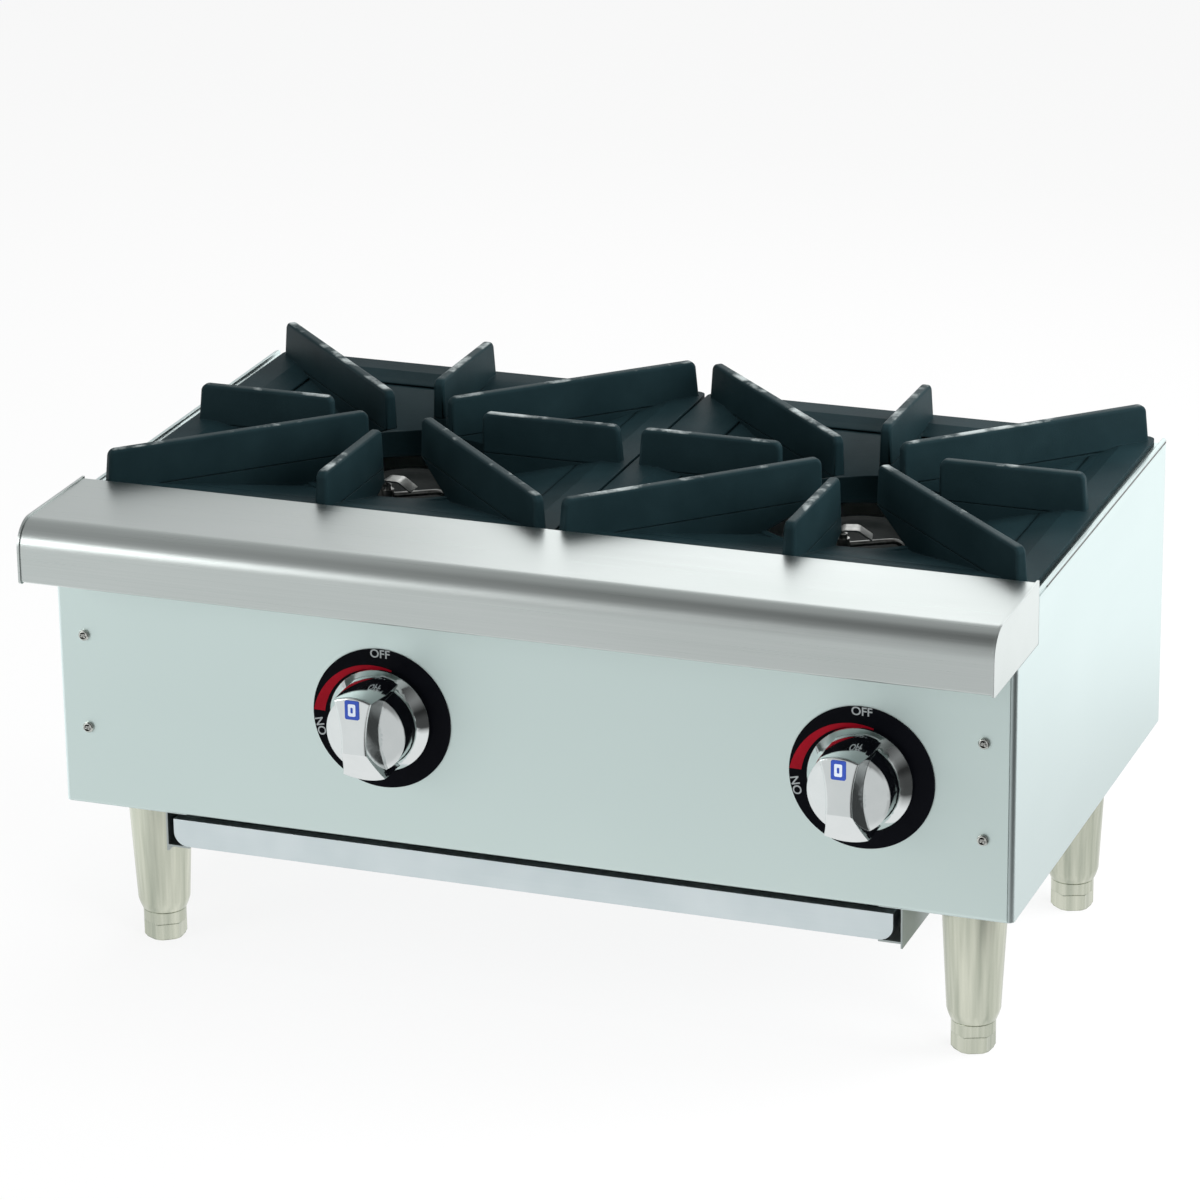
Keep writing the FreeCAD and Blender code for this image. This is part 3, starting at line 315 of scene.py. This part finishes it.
# Most solids get a welded copy with smooth curved faces. Screws and feet follow with forms of their own
finishes = {
    "side_panel": sideSteel, "control_panel": panelSteel, "rear_panel": rearSteel, "front_ledge": ledgeSteel,
    "ledge_cap": ledgeSteel, "tray_runner": shadedRunnerSteel, "drip_tray": traySteel, "burner_rail": innerSteel,
    "manifold_brackets": innerSteel, "leg": paintedStreakNickel, "leg_nuts": screwZinc,
    "gas_manifold": pipeIron, "manifold_plug": pipeIron, "inlet_elbow": pipeIron, "inlet_pipe": pipeIron,
    "gas_valve": valveBrass, "orifice_hood": valveBrass, "pilot_valve": valveBrass, "pilot_tube": pilotSteel,
    "pilot_burner": pilotSteel, "pilot_hood": pilotSteel, "burner_base": burnerIron, "burner_head": burnerIron,
    "grate": grateIron, "air_shutter": innerSteel, "dial_plate": dialBlack, "knob_tile": tileBlue, "knob": knobChrome,
    "valve_stem": screwZinc}
weld = {
    "distance": 0.00001, "smoothBelow": math.radians(32), "knobSmoothBelow": math.radians(14),
    "flatBelow": math.radians(0.15)}


def finishOf(node):
    for kind in sorted(finishes, key=len, reverse=True):
        if node == kind or node.endswith("_" + kind):
            return finishes[kind]
    raise ValueError(node)


def placePiece(shape, name, material, body):
    mesh = bpy.data.meshes.new(name)
    shape.to_mesh(mesh)
    shape.free()
    mesh.materials.clear()
    mesh.materials.append(material)
    piece = bpy.data.objects.new(name, mesh)
    bpy.context.scene.collection.objects.link(piece)
    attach(piece, body)
    return piece


def smoothCurves(piece, angle):
    for face in piece.data.polygons:
        face.use_smooth = True
    piece.data.set_sharp_from_angle(angle=angle)


def weldedCopy(node):
    source = cadNodes[node]
    shape = bmesh.new()
    shape.from_mesh(source.data)
    for layer in list(shape.loops.layers.float_vector):
        shape.loops.layers.float_vector.remove(layer)
    bmesh.ops.remove_doubles(shape, verts=shape.verts[:], dist=weld["distance"])
    bmesh.ops.dissolve_limit(   # a flat face is one face again, so its shading stays flat
        shape, angle_limit=weld["flatBelow"], verts=shape.verts[:], edges=shape.edges[:])
    piece = placePiece(shape, node + "_dressed", finishOf(node), source["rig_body"])
    for face in piece.data.polygons:
        face.material_index = 0
    kind = "knobSmoothBelow" if node.endswith("_knob") else "smoothBelow"
    smoothCurves(piece, weld[kind])
    even = piece.modifiers.new("even shading", "WEIGHTED_NORMAL")   # keeps flat sheet flat beside its bends
    even.mode = "FACE_AREA"
    even.keep_sharp = True
    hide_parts(node)
    return piece


# Cross-recess screws, turned up from the shank to the recess
screwCut = {
    "sides": 24, "shank": 2.0 * mm, "length": 9.0 * mm, "head": 3.6 * mm, "height": 2.2 * mm,
    "profile": ((3.6, 0.9), (3.3, 1.5), (2.9, 1.9), (2.3, 2.2)), "armReach": 1.6 * mm, "armHalf": 0.30 * mm,
    "neck": 0.7 * mm, "depth": 1.0 * mm, "taper": 0.5, "armSpread": 20.0, "sideSpread": 14.0, "cornerFrom": 40.0,
    "smoothBelow": math.radians(40)}
screwTurns = {
    "control_panel_screws": Matrix.Rotation(math.radians(90), 4, "X"),
    "rear_panel_screws": Matrix.Rotation(math.radians(-90), 4, "X"),
    "runner_screws": Matrix.Rotation(math.radians(180), 4, "X")}


def drawOut(shape, face, rise, radius, keep=False):
    made = bmesh.ops.extrude_face_region(shape, geom=[face], use_keep_orig=keep)["geom"]
    tip = [part for part in made if isinstance(part, bmesh.types.BMFace)][0]
    centre = tip.calc_center_median()
    for vert in tip.verts:
        arm = vert.co - centre
        vert.co = centre + arm.normalized() * radius + Vector((0, 0, rise))
    return tip


def cutCross(shape, face):
    rim = drawOut(shape, face, 0.0, screwCut["armReach"])
    for vert in rim.verts:
        angle = math.atan2(vert.co.y, vert.co.x)
        quarter = round(angle / (math.pi / 2)) * math.pi / 2
        off = math.degrees(angle - quarter)
        reach = screwCut["armReach"] if abs(off) < screwCut["armSpread"] else screwCut["neck"]
        side = screwCut["armHalf"] * max(-1.0, min(1.0, off / screwCut["sideSpread"]))
        if abs(off) > screwCut["cornerFrom"]:
            reach = screwCut["armHalf"]
        vert.co.x = math.cos(quarter) * reach - math.sin(quarter) * side
        vert.co.y = math.sin(quarter) * reach + math.cos(quarter) * side
    made = bmesh.ops.extrude_face_region(shape, geom=[rim])["geom"]
    floorFace = [part for part in made if isinstance(part, bmesh.types.BMFace)][0]
    for vert in floorFace.verts:
        vert.co.x *= screwCut["taper"]
        vert.co.y *= screwCut["taper"]
        vert.co.z -= screwCut["depth"]


def screwForm(place):
    shape = bmesh.new()
    bmesh.ops.create_circle(shape, cap_ends=True, segments=screwCut["sides"], radius=screwCut["shank"])
    bmesh.ops.translate(shape, verts=shape.verts[:], vec=(0, 0, -screwCut["length"]))
    shape.faces.ensure_lookup_table()
    tip = drawOut(shape, shape.faces[0], screwCut["length"], screwCut["shank"], keep=True)
    tip = drawOut(shape, tip, 0.0, screwCut["head"])
    level = 0.0
    for radius, height in screwCut["profile"]:
        tip = drawOut(shape, tip, height * mm - level, radius * mm)
        level = height * mm
    cutCross(shape, tip)
    bmesh.ops.recalc_face_normals(shape, faces=shape.faces[:])
    bmesh.ops.transform(shape, verts=shape.verts[:], matrix=place)
    mesh = bpy.data.meshes.new("screw")
    shape.to_mesh(mesh)
    shape.free()
    return mesh


def screwSet(node, turn):
    low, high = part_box(node)
    outward = turn @ Vector((0, 0, 1))
    inset = Vector([screwCut["head"] if abs(part) < 0.5 else 0.0 for part in outward])
    low, high = low + inset, high - inset
    shape = bmesh.new()
    corners = {(x, y, z) for x in (low.x, high.x) for y in (low.y, high.y) for z in (low.z, high.z)}
    for corner in sorted(corners):
        tipSide = (Vector(corner) - (low + high) / 2).dot(outward)
        if tipSide < 0:
            continue
        place = Matrix.Translation(Vector(corner) - outward * screwCut["height"]) @ turn
        mesh = screwForm(place)
        shape.from_mesh(mesh)
        bpy.data.meshes.remove(mesh)
    piece = placePiece(shape, node + "_dressed", screwZinc, cadNodes[node]["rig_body"])
    smoothCurves(piece, screwCut["smoothBelow"])
    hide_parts(node)


# Screw feet: a round collar over a hexagon with chamfered corners
footCut = {
    "sides": 96, "collar": 13.6 * mm, "chamfer": 1.2 * mm, "chamferFall": 0.5, "hexHeight": 10.5 * mm, "runOut": 0.6,
    "top": 19.2 * mm, "soft": 0.35 * mm, "stem": 8.0 * mm, "stemTop": 59.5 * mm, "smoothBelow": math.radians(28),
    "turns": {"front_left_foot": 33.0, "front_right_foot": 22.0, "rear_left_foot": 47.0, "rear_right_foot": 21.0}}


def hexReach(vert):
    sixth = math.radians(60)
    off = math.atan2(vert.co.y, vert.co.x) % sixth - sixth / 2
    return footCut["collar"] * math.cos(sixth / 2) / math.cos(off)


def ringUp(shape, face, ring, keep=False):
    made = bmesh.ops.extrude_face_region(shape, geom=[face], use_keep_orig=keep)["geom"]
    tip = [part for part in made if isinstance(part, bmesh.types.BMFace)][0]
    for vert in tip.verts:
        reach, level = ring(vert)
        arm = Vector((vert.co.x, vert.co.y, 0)).normalized() * reach
        vert.co = Vector((arm.x, arm.y, level))
    return tip


def screwFoot(node):
    low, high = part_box(node)
    collar, soft = footCut["collar"], footCut["soft"]
    rings = (
        lambda vert: (hexReach(vert), footCut["chamfer"] + (hexReach(vert) - collar) * footCut["chamferFall"]),
        lambda vert: (hexReach(vert), footCut["hexHeight"]),
        lambda vert: (collar, footCut["hexHeight"] + (collar - hexReach(vert)) * footCut["runOut"]),
        lambda vert: (collar, footCut["top"] - soft),
        lambda vert: (collar - soft, footCut["top"]),
        lambda vert: (footCut["stem"], footCut["top"]),
        lambda vert: (footCut["stem"], footCut["stemTop"]))
    shape = bmesh.new()
    bmesh.ops.create_circle(shape, cap_ends=True, segments=footCut["sides"], radius=collar)
    for vert in shape.verts:
        vert.co *= min(hexReach(vert), collar - footCut["chamfer"]) / collar
    shape.faces.ensure_lookup_table()
    tip = shape.faces[0]
    for step, ring in enumerate(rings):
        tip = ringUp(shape, tip, ring, keep=step == 0)
    bmesh.ops.recalc_face_normals(shape, faces=shape.faces[:])
    turn = Matrix.Rotation(math.radians(footCut["turns"][node]), 4, "Z")
    spot = Matrix.Translation(((low.x + high.x) / 2, (low.y + high.y) / 2, low.z))
    bmesh.ops.transform(shape, verts=shape.verts[:], matrix=spot @ turn)
    piece = placePiece(shape, node + "_dressed", paintedStreakNickel, cadNodes[node]["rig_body"])
    smoothCurves(piece, footCut["smoothBelow"])
    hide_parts(node)


for node in sorted(cadNodes):
    if node in screwTurns:
        screwSet(node, screwTurns[node])
    elif node in footCut["turns"]:
        screwFoot(node)
    else:
        weldedCopy(node)
print("solids dressed")


# A dark strip in the seam under each side panel's hem, which is painted shade where the seam's gap is dark
seam = {
    "drop": 1.0 * mm, "height": 1.6 * mm, "depth": 0.8 * mm, "thick": 0.70 * mm, "endGap": 2.5 * mm, "round": 0.1 * mm}


def seamShadeStrip(side, sign):
    low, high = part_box(side + "_side_panel")
    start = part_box("front_ledge")[1].y + seam["endGap"]
    finish = high.y - seam["endGap"]
    top = high.z - seam["drop"]
    outer = high.x if sign > 0 else -low.x
    inner = outer - seam["depth"]
    middle = Vector((sign * (inner + seam["thick"] / 2), (start + finish) / 2, top - seam["height"] / 2))
    size = Matrix.Diagonal((seam["thick"], finish - start, seam["height"], 1.0))
    shape = bmesh.new()
    bmesh.ops.create_cube(shape, size=1.0, matrix=Matrix.Translation(middle) @ size)
    bmesh.ops.bevel(
        shape, geom=shape.edges[:], offset=seam["round"], offset_type="OFFSET", segments=2, profile=0.5,
        affect="EDGES", material=-1)
    placePiece(shape, side + "_seam_shade_strip", seamShadeDark, "chassis")


seamShadeStrip("left", -1)
seamShadeStrip("right", 1)
print("seam shade strips placed")


# Dial print: a red sweep that widens towards full on, and the two words
dialPrint = {
    "raise": 0.06 * mm, "sweepStart": -13.0, "sweepEnd": 89.0, "steps": 44, "swing": 1.35,
    "innerThin": 31.0 * mm, "innerWide": 36.9 * mm,
    "outerThin": 32.6 * mm, "outerWide": 44.2 * mm, "offRadius": 41.3 * mm, "onRadius": 40.9 * mm, "onAngle": 103.5,
    "letterHeight": 7.4 * mm, "stroke": 0.10 * mm}


def dialCentre(side):
    low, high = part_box(side + "_dial_plate")
    return Vector(((low.x + high.x) / 2, low.y - dialPrint["raise"], (low.z + high.z) / 2))


def redSweep(side):
    centre = dialCentre(side)
    shape = bmesh.new()
    inner = shape.verts.new(centre + Vector((0, 0, dialPrint["innerThin"])))
    outer = shape.verts.new(centre + Vector((0, 0, dialPrint["outerThin"])))
    start = shape.edges.new((inner, outer))
    turn = math.radians(dialPrint["sweepEnd"] - dialPrint["sweepStart"])
    bmesh.ops.rotate(
        shape, verts=[inner, outer], cent=centre,
        matrix=Matrix.Rotation(math.radians(-dialPrint["sweepStart"]), 3, "Y"))
    bmesh.ops.spin(
        shape, geom=[inner, outer, start], cent=centre, axis=(0, -1, 0), angle=turn, steps=dialPrint["steps"],
        use_merge=False, use_duplicate=False)
    middle = (dialPrint["innerThin"] + dialPrint["outerThin"]) / 2
    for vert in shape.verts:   # the band swings outwards and widens on its way round
        arm = vert.co - centre
        angle = math.degrees(math.atan2(-arm.x, arm.z))
        share = (angle - dialPrint["sweepStart"]) / (dialPrint["sweepEnd"] - dialPrint["sweepStart"])
        edge = "outer" if arm.length > middle else "inner"
        thin = dialPrint[edge + "Thin"]
        reach = thin + (dialPrint[edge + "Wide"] - thin) * max(share, 0.0) ** dialPrint["swing"]
        vert.co = centre + arm.normalized() * reach
    bmesh.ops.recalc_face_normals(shape, faces=shape.faces[:])
    if shape.faces[0].normal.y > 0:
        bmesh.ops.reverse_faces(shape, faces=shape.faces[:])
    return placePiece(shape, side + "_red_sweep", dialRed, "chassis")


def dialWord(side, word, radius, angle):
    curve = bpy.data.curves.new(side + "_" + word, "FONT")
    curve.body = word
    curve.size = dialPrint["letterHeight"]
    curve.align_x = "CENTER"
    curve.align_y = "CENTER"
    curve.offset = dialPrint["stroke"]
    text = bpy.data.objects.new(side + "_" + word, curve)
    bpy.context.scene.collection.objects.link(text)
    bpy.context.view_layer.update()
    mesh = bpy.data.meshes.new_from_object(text)
    bpy.data.objects.remove(text)
    bpy.data.curves.remove(curve)
    shape = bmesh.new()
    shape.from_mesh(mesh)
    bpy.data.meshes.remove(mesh)
    stand = Matrix.Rotation(math.radians(90), 4, "X")
    swing = Matrix.Rotation(math.radians(-angle), 4, "Y")
    out = Matrix.Translation((0, 0, radius))
    bmesh.ops.transform(
        shape, verts=shape.verts[:], matrix=Matrix.Translation(dialCentre(side)) @ swing @ out @ stand)
    return placePiece(shape, side + "_word_" + word.lower(), letterGrey, "chassis")


for side in ("left", "right"):
    redSweep(side)
    dialWord(side, "OFF", dialPrint["offRadius"], 0.0)
    dialWord(side, "ON", dialPrint["onRadius"], dialPrint["onAngle"])
print("dial print done")


# Pointer tile: a pale field with a plain bar
tileMark = {
    "fieldInset": 2.1 * mm, "barWidth": 1.5 * mm, "barHeight": 3.6 * mm, "raise": 0.08 * mm, "round": 0.9 * mm,
    "roundShare": 0.35, "roundSteps": 4}


def tilePlate(name, centre, width, height, material, body):
    shape = bmesh.new()
    bmesh.ops.create_grid(shape, x_segments=1, y_segments=1, size=0.5)
    stand = Matrix.Rotation(math.radians(90), 4, "X")
    size = Matrix.Diagonal((width, height, 1.0, 1.0))
    bmesh.ops.transform(shape, verts=shape.verts[:], matrix=Matrix.Translation(centre) @ stand @ size)
    bmesh.ops.bevel(
        shape, geom=shape.verts[:], offset=min(tileMark["round"], width * tileMark["roundShare"]),
        offset_type="OFFSET", segments=tileMark["roundSteps"], profile=0.5, affect="VERTICES", material=-1)
    return placePiece(shape, name, material, body)


for side in ("left", "right"):
    low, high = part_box(side + "_knob_tile")
    centre = Vector(((low.x + high.x) / 2, low.y - tileMark["raise"], (low.z + high.z) / 2))
    width = high.x - low.x - 2 * tileMark["fieldInset"]
    height = high.z - low.z - 2 * tileMark["fieldInset"]
    body = side + "_knob_body"
    tilePlate(side + "_tile_field", centre, width, height, tilePale, body)
    centre = centre + Vector((0, -tileMark["raise"], 0))
    tilePlate(side + "_tile_bar", centre, tileMark["barWidth"], tileMark["barHeight"], tileBlue, body)
print("pointer tiles done")


# Stage: pale floor, soft boxes and the camera
stage = {
    "floorSize": 24.0, "floorDark": (0.93, 0.93, 0.93), "floorLight": (0.96, 0.96, 0.96), "floorCloud": 1.5,
    "floorRough": 0.9, "floorSheen": 0.1, "floorGlow": 0.86, "floorMirrored": 0.92,
    "paperCentre": (0.05, 0.14, 0.0), "paperEdge": (0.45, 0.60), "lampAim": (0.0, 0.0, 0.2)}
room = {   # tones that metal shows, from left to right where there are two
    "colour": (0.985, 1.0, 1.0), "fill": 0.40,
    "frontCeiling": (0.56, 0.03), "rearCeiling": 0.45, "frontWall": (0.80, 0.28), "rearWall": (0.50, 0.90),
    "frontFloor": (0.92, 0.67), "rearFloor": 1.36,
    "frontCeilingSpan": (-0.48, -0.20), "frontWallSpan": (-0.50, -0.10), "rearWallSpan": (-0.65, -0.30),
    "frontFloorSpan": (-0.45, -0.20), "ceilingTurn": (-0.12, 0.16), "wallTurn": (-0.4, 0.3), "floorTurn": (-0.3, 0.4),
    "horizon": (-0.12, 0.05), "ceilingFrom": (0.34, 0.80),
    "flagHeading": (0.88, -0.27, -0.39), "flagFrom": (0.62, 0.86), "flagTone": 0.10}
softBoxes = {
    "overhead box": {"size": (2.4, 1.4), "place": (-0.2, 0.0, 2.8), "power": 33.0, "mirrored": False},
    "rear box": {"size": (1.6, 0.7), "place": (0.12, 1.35, 0.85), "power": 3.0, "mirrored": True},
    "left front box": {"size": (1.2, 0.9), "place": (-1.7, -1.9, 1.0), "power": 12.5, "mirrored": True},
    "right front box": {"size": (0.8, 0.8), "place": (1.4, -1.0, 0.95), "power": 14.0, "mirrored": False},
    "right box": {"size": (0.7, 0.6), "place": (0.85, 0.25, 0.62), "power": 8.0, "mirrored": False}}


def mirroredRay(tree, path):
    return maximum(tree, path.outputs["Is Glossy Ray"], path.outputs["Is Transmission Ray"])


# A dark card off to the right, which only polished metal shows
def darkFlag(tree, heading):
    towards = addNode(tree, "ShaderNodeVectorMath", {0: heading, 1: room["flagHeading"]}, operation="DOT_PRODUCT")
    return mapRange(tree, towards.outputs["Value"], *room["flagFrom"], 1.0, room["flagTone"])


# White to the camera apart from the object's own shadow, a plain pale surface to everything else
def floorMaterial():
    material, tree, shader = startMaterial("pale floor")
    cloud = noise(tree, (stage["floorCloud"],) * 3, detail=2.0)
    link(tree, mixColour(tree, cloud, stage["floorDark"], stage["floorLight"]), shader, "Base Color")
    shader.inputs["Roughness"].default_value = stage["floorRough"]
    shader.inputs["Specular IOR Level"].default_value = stage["floorSheen"]
    path = addNode(tree, "ShaderNodeLightPath")
    mirrored = mirroredRay(tree, path)
    strength = mapRange(tree, mirrored, 0.0, 1.0, 1.0, stage["floorMirrored"])
    glow = addNode(tree, "ShaderNodeEmission", {"Strength": strength})
    seen = maximum(tree, multiply(tree, path.outputs["Is Camera Ray"], stage["floorGlow"]), mirrored)
    paper = addNode(tree, "ShaderNodeMixShader", {0: seen, 1: shader.outputs["BSDF"], 2: glow.outputs["Emission"]})
    reach = addNode(tree, "ShaderNodeVectorMath", {
        0: objectPlace(tree), 1: stage["paperCentre"]}, operation="DISTANCE").outputs["Value"]
    beyond = multiply(tree, mapRange(tree, reach, *stage["paperEdge"], 0.0, 1.0), mirrored)
    gone = addNode(tree, "ShaderNodeBsdfTransparent")   # far off, metal shows the room and not the paper
    blend = addNode(tree, "ShaderNodeMixShader", {0: beyond, 1: paper.outputs["Shader"], 2: gone.outputs["BSDF"]})
    tree.links.new(blend.outputs["Shader"], tree.nodes["Material Output"].inputs["Surface"])
    return material


def makeFloor():
    shape = bmesh.new()
    bmesh.ops.create_grid(shape, x_segments=1, y_segments=1, size=stage["floorSize"] / 2)
    mesh = bpy.data.meshes.new("floor")
    shape.to_mesh(mesh)
    shape.free()
    mesh.materials.append(floorMaterial())
    floor = bpy.data.objects.new("floor", mesh)
    bpy.context.scene.collection.objects.link(floor)


def makeWorld():
    world = bpy.data.worlds.new("studio")
    bpy.context.scene.world = world
    world.use_nodes = True
    tree = world.node_tree
    background = tree.nodes["Background"]
    background.inputs["Color"].default_value = (*room["colour"], 1.0)
    direction = addNode(tree, "ShaderNodeTexCoord").outputs["Generated"]
    heading = addNode(tree, "ShaderNodeSeparateXYZ", {0: direction})
    across, back, up = heading.outputs["X"], heading.outputs["Y"], heading.outputs["Z"]
    toned = {kind: mapRange(tree, across, *room[kind + "Span"], *room[kind])
             for kind in ("frontCeiling", "frontWall", "rearWall", "frontFloor")}
    ceiling = mapRange(tree, back, *room["ceilingTurn"], toned["frontCeiling"], room["rearCeiling"])
    wall = mapRange(tree, back, *room["wallTurn"], toned["frontWall"], toned["rearWall"])
    ground = mapRange(tree, back, *room["floorTurn"], toned["frontFloor"], room["rearFloor"])
    lower = mapRange(tree, up, *room["horizon"], ground, wall)
    tone = multiply(tree, mapRange(tree, up, *room["ceilingFrom"], lower, ceiling), darkFlag(tree, direction))
    path = addNode(tree, "ShaderNodeLightPath")
    shown = mapRange(tree, mirroredRay(tree, path), 0.0, 1.0, room["fill"], tone)
    strength = mapRange(tree, path.outputs["Is Camera Ray"], 0.0, 1.0, shown, 1.0)
    tree.links.new(strength, background.inputs["Strength"])


def softBox(name, look):
    lamp = bpy.data.lights.new(name, "AREA")
    lamp.shape = "RECTANGLE"
    lamp.size, lamp.size_y = look["size"]
    lamp.energy = look["power"]
    box = bpy.data.objects.new(name, lamp)
    aim = Vector(stage["lampAim"]) - Vector(look["place"])
    box.location = look["place"]
    box.rotation_euler = aim.to_track_quat("-Z", "Y").to_euler()
    box.visible_camera = False
    box.visible_glossy = look["mirrored"]
    bpy.context.scene.collection.objects.link(box)


makeFloor()
makeWorld()
for name, look in softBoxes.items():
    softBox(name, look)

cameraLook = {
    "place": (1.0434, -2.8462, 1.3275), "yaw": 0.35420, "pitch": 0.35074, "roll": -0.01290, "lens": 155.5,
    "sensor": 36.0, "farthest": 60.0}
lens = bpy.data.cameras.new("camera")
lens.lens = cameraLook["lens"]
lens.sensor_width = cameraLook["sensor"]
lens.clip_end = cameraLook["farthest"]
camera = bpy.data.objects.new("camera", lens)
camera.matrix_world = (
    Matrix.Translation(cameraLook["place"]) @ Matrix.Rotation(cameraLook["yaw"], 4, "Z")
    @ Matrix.Rotation(math.pi / 2 - cameraLook["pitch"], 4, "X") @ Matrix.Rotation(cameraLook["roll"], 4, "Z"))
bpy.context.scene.collection.objects.link(camera)
bpy.context.scene.camera = camera
bpy.context.scene.view_settings.view_transform = "Standard"
print("stage set")
